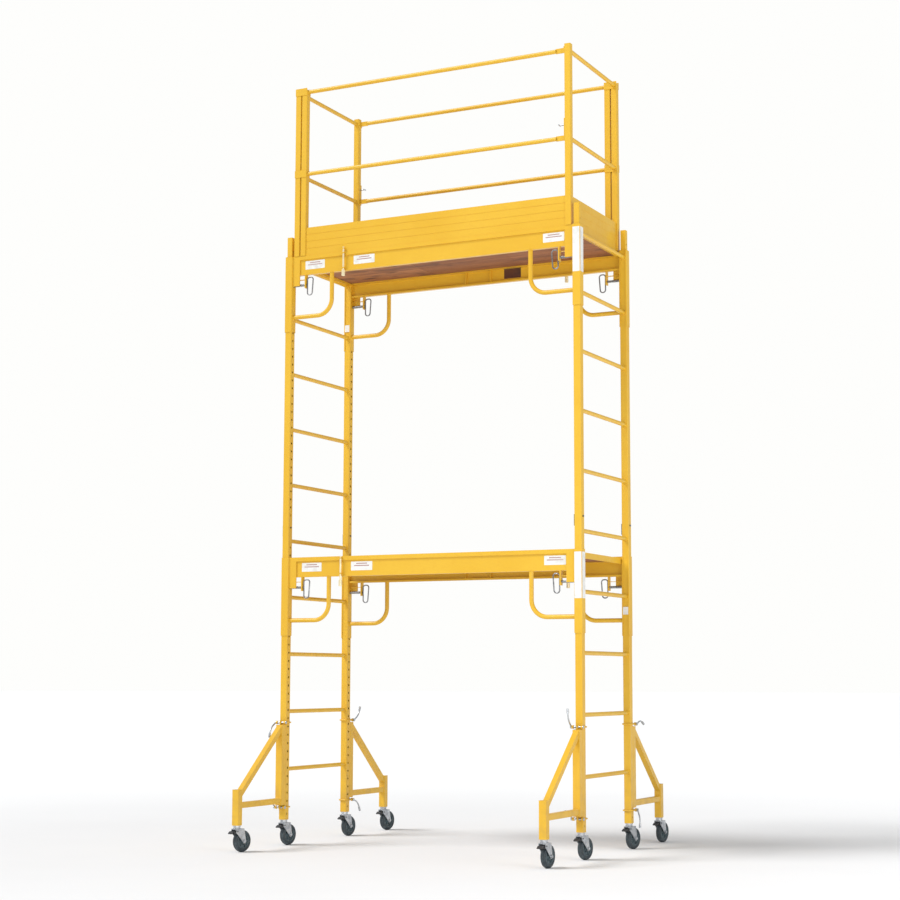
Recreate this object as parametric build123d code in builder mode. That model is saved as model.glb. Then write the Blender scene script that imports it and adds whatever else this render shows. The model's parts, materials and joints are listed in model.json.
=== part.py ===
from build123d import *
import os
from math import atan2, cos, degrees, hypot, radians, sin

# Baker scaffold: two stacked end frames at each end, two side-bracket platforms, a guardrail with
# toe boards round the upper one, and four outriggers. Millimetres, +Z up. The origin is on the
# floor, midway between the four posts. +X runs along the platforms from the left end to the right
# one, and +Y runs from the front to the back.

# Driving dimensions
RUNG_PITCH = 350.0
RUNGS_PER_FRAME = 5
BAY_LENGTH = 1962.0  # left to right, post centre to post centre
BAY_WIDTH = 744.0  # front to back, post centre to post centre
POST_BASE = 155.0  # underside of the posts and of the outrigger feet
PLATFORM_TOPS = {"lower": 1752.0, "upper": 3652.0}
GUARD_RAIL_HEIGHT = 1066.0  # top rail's centre above the upper platform
MID_RAIL_DROP = 535.0
OUTRIGGER_REACH = 517.0  # post centre to foot centre
WHEEL_DIAMETER = 127.0

# Stock and clearances
POST_SIDE = 44.45
POST_WALL = 2.1
RUNG_DIAMETER = 25.4
TUBE_WALL = 2.0
GUARD_POST_SIDE = 38.1
WELD_GAP = 0.05  # left between welded tubes, so that each stays its own solid
SLIP = 0.4  # radial clearance of a loose pin in its hole
RUNNING = 0.06  # radial clearance of an axle or hinge pin

HALF_LENGTH = BAY_LENGTH / 2
HALF_WIDTH = BAY_WIDTH / 2
HALF_POST = POST_SIDE / 2
FRAME_HEIGHT = RUNG_PITCH * RUNGS_PER_FRAME
JOINT_HEIGHT = POST_BASE + FRAME_HEIGHT  # where the upper frames stand on the lower ones
UPPER_TOP = PLATFORM_TOPS["upper"]
TOP_RAIL = UPPER_TOP + GUARD_RAIL_HEIGHT
MID_RAIL = TOP_RAIL - MID_RAIL_DROP

os.makedirs("parts", exist_ok=True)


def save(piece, label):
    """Label a finished piece and write its STEP file."""
    piece.part.label = label
    export_step(piece.part, f"parts/{label}.step")


def block(low, high, mode=Mode.ADD):
    """A box between two opposite corners."""
    middle = [(a + b) / 2 for a, b in zip(low, high)]
    with Locations(tuple(middle)):
        Box(high[0] - low[0], high[1] - low[1], high[2] - low[2], mode=mode)


def square_tube(start, end, side, wall, corner=4.0):
    """A square tube between two points on a line along one axis."""
    run = Vector(*end) - Vector(*start)
    with BuildSketch(Plane(origin=start, z_dir=run)) as section:
        RectangleRounded(side, side, corner)
        RectangleRounded(side - 2 * wall, side - 2 * wall, corner - wall / 2, mode=Mode.SUBTRACT)
    extrude(section.sketch, amount=run.length)


def round_tube(start, end, diameter, wall=TUBE_WALL):
    """A round tube between two points."""
    run = Vector(*end) - Vector(*start)
    with BuildSketch(Plane(origin=start, z_dir=run)) as section:
        Circle(diameter / 2)
        Circle(diameter / 2 - wall, mode=Mode.SUBTRACT)
    extrude(section.sketch, amount=run.length)


def rod(start, end, radius, mode=Mode.ADD):
    """A solid round rod between two points, or with Mode.SUBTRACT its hole."""
    run = Vector(*end) - Vector(*start)
    with BuildSketch(Plane(origin=start, z_dir=run)) as section:
        Circle(radius)
    extrude(section.sketch, amount=run.length, mode=mode)


def placed(piece, *spots):
    """The piece once at each spot, given as (x, y, z, turn about Z)."""
    with BuildPart() as group:
        with Locations(*[Location((x, y, z), (0, 0, turn)) for x, y, z, turn in spots]):
            add(piece.part)
    return group


# End frame: two posts with five rungs between them, and a spigot in the top of each post. The
# row of holes for the bracket pins is in the face towards the platforms, +X here.
HOLE_PITCH = 50.0
HOLE_RADIUS = 7.0
FIRST_HOLE = 112.0  # above the frame's foot
HOLES_PER_POST = 32
HOLE_DEPTH = 3.0
FIRST_RUNG = 304.0  # above the frame's foot
SPIGOT_SIDE = 34.0
SPIGOT_WALL = 2.5
SPIGOT_GRIP = 100.0  # length inside the post
SPIGOT_RISE = 125.0  # length above the post
JOINT_PIN_RADIUS = 4.8
JOINT_PIN_HEIGHT = 35.0  # above the joint between two frames

with BuildPart() as end_frame:
    for y in (-HALF_WIDTH, HALF_WIDTH):
        square_tube((0, y, 0), (0, y, FRAME_HEIGHT), POST_SIDE, POST_WALL)
        spigot_ends = (FRAME_HEIGHT - SPIGOT_GRIP, FRAME_HEIGHT + SPIGOT_RISE)
        square_tube((0, y, spigot_ends[0]), (0, y, spigot_ends[1]), SPIGOT_SIDE, SPIGOT_WALL, 3.0)
        for z in (JOINT_PIN_HEIGHT, FRAME_HEIGHT + JOINT_PIN_HEIGHT):
            rod((-POST_SIDE, y, z), (POST_SIDE, y, z), JOINT_PIN_RADIUS + SLIP, mode=Mode.SUBTRACT)
    with BuildSketch(Plane.YZ.offset(HALF_POST)) as hole_row:
        row_middle = FIRST_HOLE + (HOLES_PER_POST - 1) / 2 * HOLE_PITCH
        with Locations((0, row_middle)):
            with GridLocations(BAY_WIDTH, HOLE_PITCH, 2, HOLES_PER_POST):
                Circle(HOLE_RADIUS)
    extrude(hole_row.sketch, amount=-HOLE_DEPTH, mode=Mode.SUBTRACT)
    rung_end = HALF_WIDTH - HALF_POST - WELD_GAP
    for i in range(RUNGS_PER_FRAME):
        z = FIRST_RUNG + i * RUNG_PITCH
        round_tube((0, -rung_end, z), (0, rung_end, z), RUNG_DIAMETER)

for level, foot in (("lower", POST_BASE), ("upper", JOINT_HEIGHT)):
    for end, x, turn in (("left", -HALF_LENGTH, 0), ("right", HALF_LENGTH, 180)):
        save(placed(end_frame, (x, 0, foot, turn)), f"{level}_frame_{end}")

# Snap pin that holds an upper frame on a lower one, pushed in from the post's -X face
SNAP_CLIP_LENGTH = 66.0
SNAP_CLIP_WIDTH = 12.0
SNAP_CLIP_THICKNESS = 4.0
SNAP_CLIP_STAND_OFF = 5.0
SNAP_CLIP_RISE = 12.0  # clip's top above the pin's axis
SNAP_CLIP_FOOT = 4.0  # height of the clip's turned-in end
SNAP_PIN_REACH = 6.0  # pin's length beyond the post's far face
CLEARANCE = 0.3

with BuildPart() as snap_pin:
    clip_face = -HALF_POST - SNAP_CLIP_STAND_OFF
    clip_bottom = SNAP_CLIP_RISE - SNAP_CLIP_LENGTH
    half_clip = SNAP_CLIP_WIDTH / 2
    rod((clip_face - SNAP_CLIP_THICKNESS / 2, 0, 0), (HALF_POST + SNAP_PIN_REACH, 0, 0), JOINT_PIN_RADIUS)
    block((clip_face - SNAP_CLIP_THICKNESS, -half_clip, clip_bottom),
          (clip_face, half_clip, SNAP_CLIP_RISE))
    block((clip_face, -half_clip, clip_bottom),
          (-HALF_POST - CLEARANCE, half_clip, clip_bottom + SNAP_CLIP_FOOT))

snap_height = JOINT_HEIGHT + JOINT_PIN_HEIGHT
save(placed(snap_pin,
            (-HALF_LENGTH, -HALF_WIDTH, snap_height, 0), (-HALF_LENGTH, HALF_WIDTH, snap_height, 0),
            (HALF_LENGTH, -HALF_WIDTH, snap_height, 0), (HALF_LENGTH, HALF_WIDTH, snap_height, 0)),
     "frame_snap_pins")

# Side bracket: a rail between two sleeves that slide on the posts, with a bent brace under each
# end. This is the front one, with its top at z = 0. The back one is the same, turned half round.
SLEEVE_SIDE = 51.0
SLEEVE_WALL = 2.7
SLEEVE_LENGTH = 481.0
SLEEVE_SLOT = 31.0  # open stretch that passes the rungs
SLEEVE_CORNER = 5.0
RAIL_DEPTH = 122.0
LIP_HEIGHT = 25.0
LIP_OUTER = 16.0  # distances outward from the posts' centre plane
LIP_INNER = -10.0
WEB_OUTER = 9.0
PLATE = 3.0
LEDGE_DROP = 30.0  # top of the deck ledge below the rail's top
LEDGE_INNER = -30.0
BRACE_DIAMETER = 26.9
BRACE_INSET = 302.0  # brace leg's centre inboard of the post's centre
BRACE_DROP = 387.0
BRACE_BEND = 100.0
GUSSET_WIDTH = 50.0
GUSSET_DROP = 190.0
PIN_DROP = 185.0  # locking pin's axis below the rail's top
PIN_RADIUS = 6.35
EAR_INSET = 90.0  # pin ear's centre inboard of the sleeve
EAR_THICKNESS = 6.0
EAR_DROP = 207.0
STRAP_DROP = 150.0
BOLT_X = -584.0  # upright bolt that holds the toe board, beside the rail
BOLT_RADIUS = 6.0
BOLT_OUT = 24.0
EYE_THICKNESS = 5.0
EYE_HALF_WIDTH = 9.0
EYE_OUTER = 33.0
LOWER_EYE_RISE = 16.0  # above the rail's bottom
STIFFENERS = (-66.0, 109.0)

SLEEVE_FACE = HALF_LENGTH - SLEEVE_SIDE / 2  # sleeve's inboard face

# Decks lie on the brackets' ledges
DECK_HALF_LENGTH = 953.0
DECK_HALF_WIDTH = 360.0
DECK_THICKNESS = 19.0
DECK_TOP_DROP = LEDGE_DROP - DECK_THICKNESS
RIM = 3.0
RIM_END_DROP = 16.0  # the rim's ends hang this far below the boards
DECK_PLAY = 1.0


def out(distance):
    """The y of a point this far outside the front posts' centre plane."""
    return -HALF_WIDTH - distance


def bolt_eye(face, height):
    """An eye that guides the upright bolt, standing out from a face."""
    block((BOLT_X - EYE_HALF_WIDTH, out(EYE_OUTER), height - EYE_THICKNESS / 2),
          (BOLT_X + EYE_HALF_WIDTH, out(face + WELD_GAP), height + EYE_THICKNESS / 2))
    rod((BOLT_X, out(BOLT_OUT), height - EYE_THICKNESS), (BOLT_X, out(BOLT_OUT), height + EYE_THICKNESS),
        BOLT_RADIUS + SLIP, mode=Mode.SUBTRACT)


with BuildPart() as side_bracket:
    with BuildSketch(Plane.XY.offset(-SLEEVE_LENGTH)) as sleeve_section:
        with Locations((-HALF_LENGTH, -HALF_WIDTH), (HALF_LENGTH, -HALF_WIDTH)):
            RectangleRounded(SLEEVE_SIDE, SLEEVE_SIDE, SLEEVE_CORNER)
            RectangleRounded(SLEEVE_SIDE - 2 * SLEEVE_WALL, SLEEVE_SIDE - 2 * SLEEVE_WALL,
                             SLEEVE_CORNER - SLEEVE_WALL, mode=Mode.SUBTRACT)
        with Locations((-HALF_LENGTH, -HALF_WIDTH + SLEEVE_SIDE / 2),
                       (HALF_LENGTH, -HALF_WIDTH + SLEEVE_SIDE / 2)):
            Rectangle(SLEEVE_SLOT, SLEEVE_SIDE / 2, mode=Mode.SUBTRACT)
    extrude(sleeve_section.sketch, amount=SLEEVE_LENGTH)
    for side in (-1, 1):
        rod((side * (SLEEVE_FACE - SLEEVE_WALL), out(0), -PIN_DROP),
            (side * (SLEEVE_FACE + 2 * SLEEVE_WALL), out(0), -PIN_DROP),
            PIN_RADIUS + SLIP, mode=Mode.SUBTRACT)

    rail_end = SLEEVE_FACE - WELD_GAP
    with BuildSketch(Plane(origin=(-rail_end, 0, 0), x_dir=(0, 1, 0), z_dir=(1, 0, 0))) as rail_section:
        with BuildLine():
            Polyline(
                (out(LIP_INNER), 0), (out(LIP_OUTER), 0), (out(LIP_OUTER), -LIP_HEIGHT),
                (out(WEB_OUTER), -LIP_HEIGHT), (out(WEB_OUTER), -RAIL_DEPTH),
                (out(-LIP_OUTER), -RAIL_DEPTH), (out(-LIP_OUTER), -RAIL_DEPTH + 4 * PLATE),
                (out(-LIP_OUTER + PLATE), -RAIL_DEPTH + 4 * PLATE),
                (out(-LIP_OUTER + PLATE), -RAIL_DEPTH + PLATE),
                (out(WEB_OUTER - PLATE), -RAIL_DEPTH + PLATE), (out(WEB_OUTER - PLATE), -LIP_HEIGHT),
                (out(LIP_INNER), -LIP_HEIGHT), close=True)
        make_face()
        lip_middle = (LIP_OUTER + LIP_INNER) / 2
        with Locations((out(lip_middle), -LIP_HEIGHT / 2)):
            Rectangle(LIP_OUTER - LIP_INNER - 2 * TUBE_WALL, LIP_HEIGHT - 2 * TUBE_WALL,
                      mode=Mode.SUBTRACT)
    extrude(rail_section.sketch, amount=2 * rail_end)
    ledge_end = DECK_HALF_LENGTH - RIM - DECK_PLAY
    block((-ledge_end, out(WEB_OUTER - PLATE - WELD_GAP), -LEDGE_DROP - PLATE),
          (ledge_end, out(LEDGE_INNER), -LEDGE_DROP))
    for x in STIFFENERS:
        block((x - PLATE, out(WEB_OUTER - PLATE - WELD_GAP), -RAIL_DEPTH + PLATE + WELD_GAP),
              (x + PLATE, out(-LIP_OUTER + PLATE + 2), -LEDGE_DROP - PLATE - WELD_GAP))

    for side in (-1, 1):
        gusset_x = sorted((side * rail_end, side * (rail_end - GUSSET_WIDTH)))
        block((gusset_x[0], out(LIP_OUTER), -GUSSET_DROP),
              (gusset_x[1], out(WEB_OUTER + WELD_GAP), -LIP_HEIGHT - WELD_GAP))
        ear_x = side * (SLEEVE_FACE - EAR_INSET)
        block((ear_x - EAR_THICKNESS / 2, out(LIP_OUTER), -EAR_DROP),
              (ear_x + EAR_THICKNESS / 2, out(-LIP_OUTER), -RAIL_DEPTH - WELD_GAP))
        rod((ear_x - EAR_THICKNESS, out(0), -PIN_DROP), (ear_x + EAR_THICKNESS, out(0), -PIN_DROP),
            PIN_RADIUS + SLIP, mode=Mode.SUBTRACT)
        strap_x = sorted((ear_x + side * (EAR_THICKNESS / 2 + WELD_GAP), side * (rail_end - 2)))
        block((strap_x[0], out(WEB_OUTER), -STRAP_DROP - PLATE), (strap_x[1], out(-WEB_OUTER), -STRAP_DROP))

        leg_x = side * (HALF_LENGTH - BRACE_INSET)
        bend_x = leg_x + side * BRACE_BEND
        bend_z = -BRACE_DROP + BRACE_BEND
        round_tube((leg_x, out(0), -RAIL_DEPTH - WELD_GAP), (leg_x, out(0), bend_z + WELD_GAP),
                   BRACE_DIAMETER)
        round_tube((bend_x + side * WELD_GAP, out(0), -BRACE_DROP), (side * rail_end, out(0), -BRACE_DROP),
                   BRACE_DIAMETER)
        with BuildSketch(Plane(origin=(leg_x, out(0), bend_z), z_dir=(0, 0, 1))) as bend_section:
            Circle(BRACE_DIAMETER / 2)
            Circle(BRACE_DIAMETER / 2 - TUBE_WALL, mode=Mode.SUBTRACT)
        revolve(bend_section.sketch, axis=Axis((bend_x, out(0), bend_z), (0, -side, 0)), revolution_arc=90)

    bolt_eye(LIP_OUTER, -LIP_HEIGHT / 2)
    bolt_eye(WEB_OUTER, -RAIL_DEPTH + LOWER_EYE_RISE)

for level, top in PLATFORM_TOPS.items():
    save(placed(side_bracket, (0, 0, top, 0), (0, 0, top, 180)), f"side_brackets_{level}")

# Bracket locking pin at the right end of the front bracket, pointing +X into the post. Its axis
# is y = 0, z = 0 here, and its ring handle stands in the XZ plane at the inboard end.
PIN_TIP = HALF_LENGTH - 8.0
RING_ROD_RADIUS = 4.0
RING_WIDTH = 42.0
RING_ABOVE = 47.0
RING_BELOW = 65.0
RING_CORNER = 16.0
RING_LEAN = 8.0
COLLAR_RADIUS = 8.5
COLLAR_SPAN = (7.0, 2.0)  # distances short of the sleeve
RING_STAND_OFF = 6.0

ring_x = SLEEVE_FACE - EAR_INSET - EAR_THICKNESS / 2 - RING_STAND_OFF

with BuildPart() as bracket_pin:
    rod((ring_x + RING_ROD_RADIUS + WELD_GAP, 0, 0), (PIN_TIP, 0, 0), PIN_RADIUS)
    rod((SLEEVE_FACE - COLLAR_SPAN[0], 0, 0), (SLEEVE_FACE - COLLAR_SPAN[1], 0, 0), COLLAR_RADIUS)
    with BuildLine() as ring_path:
        FilletPolyline(
            (ring_x, 0, -RING_BELOW), (ring_x, 0, RING_ABOVE), (ring_x - RING_WIDTH, 0, RING_ABOVE),
            (ring_x - RING_WIDTH + RING_LEAN, 0, -RING_BELOW), radius=RING_CORNER, close=True)
    with BuildSketch(Plane(origin=ring_path.line @ 0, z_dir=ring_path.line % 0)) as ring_section:
        Circle(RING_ROD_RADIUS)
    sweep(ring_section.sketch, path=ring_path.line)
    # the ring's straight and bent lengths are separate, so that its loop stays open
    for length in ring_path.edges():
        with BuildSketch(Plane(origin=length @ 0, z_dir=length % 0)) as parting:
            Circle(RING_ROD_RADIUS + 1.5)
        extrude(parting.sketch, amount=WELD_GAP, mode=Mode.SUBTRACT)

CORNERS = {"front_left": (-1, -1), "front_right": (1, -1), "back_left": (-1, 1), "back_right": (1, 1)}

for level, top in PLATFORM_TOPS.items():
    for corner, (side, depth) in CORNERS.items():
        spot = (0, depth * HALF_WIDTH, top - PIN_DROP, 0 if side > 0 else 180)
        save(placed(bracket_pin, spot), f"bracket_pin_{level}_{corner}")

# Upright bolt in the eyes beside each rail. Pushed up it also passes an eye on the toe board.
BOLT_TOP = 26.0  # above the rail's top when it is up
BOLT_LENGTH = 184.0
KNOB_RADIUS = 11.0
KNOB_LENGTH = 38.0
KNOB_FILLET = 2.5
BOLT_TRAVEL = 26.0

with BuildPart() as toe_bolt:
    rod((BOLT_X, out(BOLT_OUT), BOLT_TOP - BOLT_LENGTH), (BOLT_X, out(BOLT_OUT), BOLT_TOP), BOLT_RADIUS)
    with Locations((BOLT_X, out(BOLT_OUT), BOLT_TOP - BOLT_LENGTH + KNOB_LENGTH / 2)):
        Cylinder(KNOB_RADIUS, KNOB_LENGTH)
    fillet(toe_bolt.part.edges().filter_by(GeomType.CIRCLE).filter_by(
        lambda edge: abs(edge.radius - KNOB_RADIUS) < WELD_GAP), KNOB_FILLET)

for level, top in PLATFORM_TOPS.items():
    lift = 0.0 if level == "upper" else -BOLT_TRAVEL
    for side, turn in (("front", 0), ("back", 180)):
        save(placed(toe_bolt, (0, 0, top + lift, turn)), f"toe_bolt_{level}_{side}")

# Decks: three plywood panels in a rim of flat steel, lying on the ledges
SEAMS = (-327.0, 327.0)
SEAM_GAP = 2.0

with BuildPart() as deck_panels:
    panel_half_width = DECK_HALF_WIDTH - RIM - WELD_GAP
    panel_end = DECK_HALF_LENGTH - RIM - WELD_GAP
    edges = (-panel_end - SEAM_GAP / 2,) + SEAMS + (panel_end + SEAM_GAP / 2,)
    for start, end in zip(edges, edges[1:]):
        block((start + SEAM_GAP / 2, -panel_half_width, -LEDGE_DROP),
              (end - SEAM_GAP / 2, panel_half_width, -DECK_TOP_DROP))

with BuildPart() as deck_rim:
    for side in (-1, 1):
        rim_y = sorted((side * (DECK_HALF_WIDTH - RIM), side * DECK_HALF_WIDTH))
        block((-DECK_HALF_LENGTH, rim_y[0], -LEDGE_DROP), (DECK_HALF_LENGTH, rim_y[1], -DECK_TOP_DROP))
        rim_x = sorted((side * (DECK_HALF_LENGTH - RIM), side * DECK_HALF_LENGTH))
        rim_end = DECK_HALF_WIDTH - RIM - WELD_GAP
        block((rim_x[0], -rim_end, -LEDGE_DROP - RIM_END_DROP), (rim_x[1], rim_end, -DECK_TOP_DROP))

deck_spots = [(0, 0, top, 0) for top in PLATFORM_TOPS.values()]
save(placed(deck_panels, *deck_spots), "deck_boards")
save(placed(deck_rim, *deck_spots), "deck_frames")

# Guardrail. A long gate and an end gate hinge together at one corner, where their posts stand
# side by side. At the other corner the long gate's rails are pinned to the next end gate's post.
GUARD_POST_X = 928.0
DOUBLE_POST_PITCH = 45.0
HALF_GUARD_POST = GUARD_POST_SIDE / 2
SINGLE_POST_RISE = 35.0  # post's top above the top rail's centre
DOUBLE_POST_RISE = 13.0
FLAT_END_LENGTH = 54.0
FLAT_END_HALF_HEIGHT = 15.0
FLAT_END_HALF_THICKNESS = 4.0
LATCH_PLATE = 5.0
LATCH_GAP = 0.1  # left between a latch plate and the post it closes on
LATCH_HALF_WIDTH = 17.0
LATCH_HALF_HEIGHT = 20.0
LATCH_ABOVE_PIN = 37.0
GUARD_PIN_HEIGHT = MID_RAIL + 80.0
GUARD_PIN_RADIUS = 4.0
GUARD_PIN_STAND_OUT = 43.0
GUARD_PIN_DEPTH = 12.0  # into the post
TOGGLE_HALF_LENGTH = 14.0
TOGGLE_RADIUS = 3.5
HINGE_PLATE_HALF_HEIGHT = 23.0
NOTCH_PLAY = 1.0

guard_foot = UPPER_TOP + WELD_GAP
latch_face = GUARD_POST_X - HALF_GUARD_POST

with BuildPart() as long_gate:
    hinge_post_x = -GUARD_POST_X + DOUBLE_POST_PITCH
    square_tube((hinge_post_x, out(0), guard_foot), (hinge_post_x, out(0), TOP_RAIL + DOUBLE_POST_RISE),
                GUARD_POST_SIDE, TUBE_WALL)
    flat_start = latch_face - LATCH_PLATE - LATCH_GAP - FLAT_END_LENGTH
    for z, plate_top in ((TOP_RAIL, TOP_RAIL + LATCH_HALF_HEIGHT),
                         (MID_RAIL, GUARD_PIN_HEIGHT + LATCH_ABOVE_PIN)):
        round_tube((hinge_post_x + HALF_GUARD_POST + WELD_GAP, out(0), z),
                   (flat_start - WELD_GAP, out(0), z), RUNG_DIAMETER)
        block((flat_start, out(FLAT_END_HALF_THICKNESS), z - FLAT_END_HALF_HEIGHT),
              (flat_start + FLAT_END_LENGTH, out(-FLAT_END_HALF_THICKNESS), z + FLAT_END_HALF_HEIGHT))
        block((latch_face - LATCH_PLATE, out(LATCH_HALF_WIDTH), z - LATCH_HALF_HEIGHT),
              (latch_face - LATCH_GAP, out(-LATCH_HALF_WIDTH), plate_top))
    rod((latch_face - 2 * LATCH_PLATE, out(0), GUARD_PIN_HEIGHT), (latch_face, out(0), GUARD_PIN_HEIGHT),
        GUARD_PIN_RADIUS + SLIP, mode=Mode.SUBTRACT)

with BuildPart() as end_gate:
    posts = ((-HALF_WIDTH, TOP_RAIL + DOUBLE_POST_RISE), (HALF_WIDTH, TOP_RAIL + SINGLE_POST_RISE))
    for y, top in posts:
        square_tube((-GUARD_POST_X, y, guard_foot), (-GUARD_POST_X, y, top), GUARD_POST_SIDE, TUBE_WALL)
    rod((-latch_face, HALF_WIDTH, GUARD_PIN_HEIGHT),
        (-latch_face - 2 * TUBE_WALL, HALF_WIDTH, GUARD_PIN_HEIGHT),
        GUARD_PIN_RADIUS + SLIP, mode=Mode.SUBTRACT)
    end_rail = HALF_WIDTH - HALF_GUARD_POST - WELD_GAP
    hinge_x = (-GUARD_POST_X - HALF_GUARD_POST, -GUARD_POST_X + DOUBLE_POST_PITCH + HALF_GUARD_POST)
    for z in (TOP_RAIL, MID_RAIL):
        for near in (HALF_GUARD_POST + WELD_GAP, -HALF_GUARD_POST - WELD_GAP - PLATE):
            block((hinge_x[0], out(near + PLATE), z - HINGE_PLATE_HALF_HEIGHT),
                  (hinge_x[1], out(near), z + HINGE_PLATE_HALF_HEIGHT))
        # the inner plate is notched where the end rail passes it
        rod((-GUARD_POST_X, -end_rail, z), (-GUARD_POST_X, -end_rail + 4 * PLATE, z),
            RUNG_DIAMETER / 2 + NOTCH_PLAY, mode=Mode.SUBTRACT)
        round_tube((-GUARD_POST_X, -end_rail, z), (-GUARD_POST_X, end_rail, z), RUNG_DIAMETER)

save(placed(long_gate, (0, 0, 0, 0), (0, 0, 0, 180)), "guardrail_long_gates")
save(placed(end_gate, (0, 0, 0, 0), (0, 0, 0, 180)), "guardrail_end_gates")

# Toggle pin of a gate latch, for the front gate, pushed +X into the post; its axis is z = 0
with BuildPart() as guard_pin:
    pin_outer = latch_face - GUARD_PIN_STAND_OUT
    toggle_x = pin_outer + GUARD_PIN_RADIUS
    rod((pin_outer, out(0), 0), (latch_face + GUARD_PIN_DEPTH, out(0), 0), GUARD_PIN_RADIUS)
    rod((toggle_x, out(TOGGLE_HALF_LENGTH), 0), (toggle_x, out(-TOGGLE_HALF_LENGTH), 0), TOGGLE_RADIUS)

for side, turn in (("front", 0), ("back", 180)):
    save(placed(guard_pin, (0, 0, GUARD_PIN_HEIGHT, turn)), f"guardrail_pin_{side}")

# Toe boards: ribbed steel boards on edge between the guard posts
TOE_HEIGHT = 180.0
TOE_THICKNESS = 20.0
TOE_WALL = 1.5
TOE_OUT = 3.0  # long board's centre outside the posts' centre plane
GROOVES = (45.0, 90.0, 135.0)
GROOVE_WIDTH = 5.0
GROOVE_DEPTH = 1.2
BOARD_PLAY = 0.5  # at each end, between a board and a guard post
TOE_EYE_DROP = 10.0  # below the top of the raised bolt


def toe_section(bottom):
    """Upright section of a toe board in the current sketch, centred on x = 0."""
    height = TOE_HEIGHT - bottom
    with Locations((0, bottom + height / 2)):
        Rectangle(TOE_THICKNESS, height)
        Rectangle(TOE_THICKNESS - 2 * TOE_WALL - 2 * GROOVE_DEPTH,
                  height - 2 * TOE_WALL, mode=Mode.SUBTRACT)
    for z in GROOVES:
        for face in (-TOE_THICKNESS / 2, TOE_THICKNESS / 2):
            with Locations((face, z)):
                Rectangle(2 * GROOVE_DEPTH, GROOVE_WIDTH, mode=Mode.SUBTRACT)


with BuildPart() as long_toe_board:
    toe_start = -GUARD_POST_X + DOUBLE_POST_PITCH + HALF_GUARD_POST + BOARD_PLAY
    toe_end = latch_face - BOARD_PLAY
    with BuildSketch(Plane(origin=(toe_start, out(TOE_OUT), 0), x_dir=(0, 1, 0), z_dir=(1, 0, 0))) as board:
        toe_section(WELD_GAP)
    extrude(board.sketch, amount=toe_end - toe_start)
    bolt_eye(TOE_OUT + TOE_THICKNESS / 2, BOLT_TOP - TOE_EYE_DROP)

with BuildPart() as end_toe_board:
    end_board = HALF_WIDTH - HALF_GUARD_POST - BOARD_PLAY
    end_plane = Plane(origin=(-GUARD_POST_X, -end_board, 0), x_dir=(-1, 0, 0), z_dir=(0, 1, 0))
    with BuildSketch(end_plane) as board:
        toe_section(WELD_GAP - DECK_TOP_DROP)
    extrude(board.sketch, amount=2 * end_board)

with BuildPart() as toe_boards:
    with Locations(Location((0, 0, UPPER_TOP)), Location((0, 0, UPPER_TOP), (0, 0, 180))):
        add(long_toe_board.part)
        add(end_toe_board.part)
save(toe_boards, "toe_boards")

# Outrigger at a post whose centre is x = 0, y = 0, reaching towards +Y
MEMBER_SIDE = 45.0
MEMBER_NEAR = HALF_POST + CLEARANCE
MEMBER_BOTTOM = 245.0
MEMBER_TOP = 728.0
STRUT_HEIGHT = 270.0
STRUT_SIDE = 34.0
FOOT_TOP = 359.0
BRACE_SIDE = 32.0
BRACE_TOP = 700.0
BRACE_SEAT = 0.66  # share of the brace's side that its lower end drops below the foot's top
CLAMP_OFFSET = 14.0  # clamp pivots beyond the member's ends
HOOK_RADIUS = 4.75
EYE_HALF = 5.25  # half the thickness of a hook's eye
PIVOT_RADIUS = 6.0
LUG_HALF_WIDTH = 12.0
HOOK_EYE_WALL = 4.0
HOOK_END = 8.0  # hook's ends stop this far short of the pivot
HOOK_BEND = 12.0

member_y = MEMBER_NEAR + MEMBER_SIDE / 2
member_far = MEMBER_NEAR + MEMBER_SIDE + WELD_GAP
foot_near = OUTRIGGER_REACH - HALF_POST - WELD_GAP
CLAMP_HEIGHTS = {"top": MEMBER_TOP + CLAMP_OFFSET, "bottom": MEMBER_BOTTOM - CLAMP_OFFSET}
hook_x = HALF_POST + 1 + HOOK_RADIUS

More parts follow.
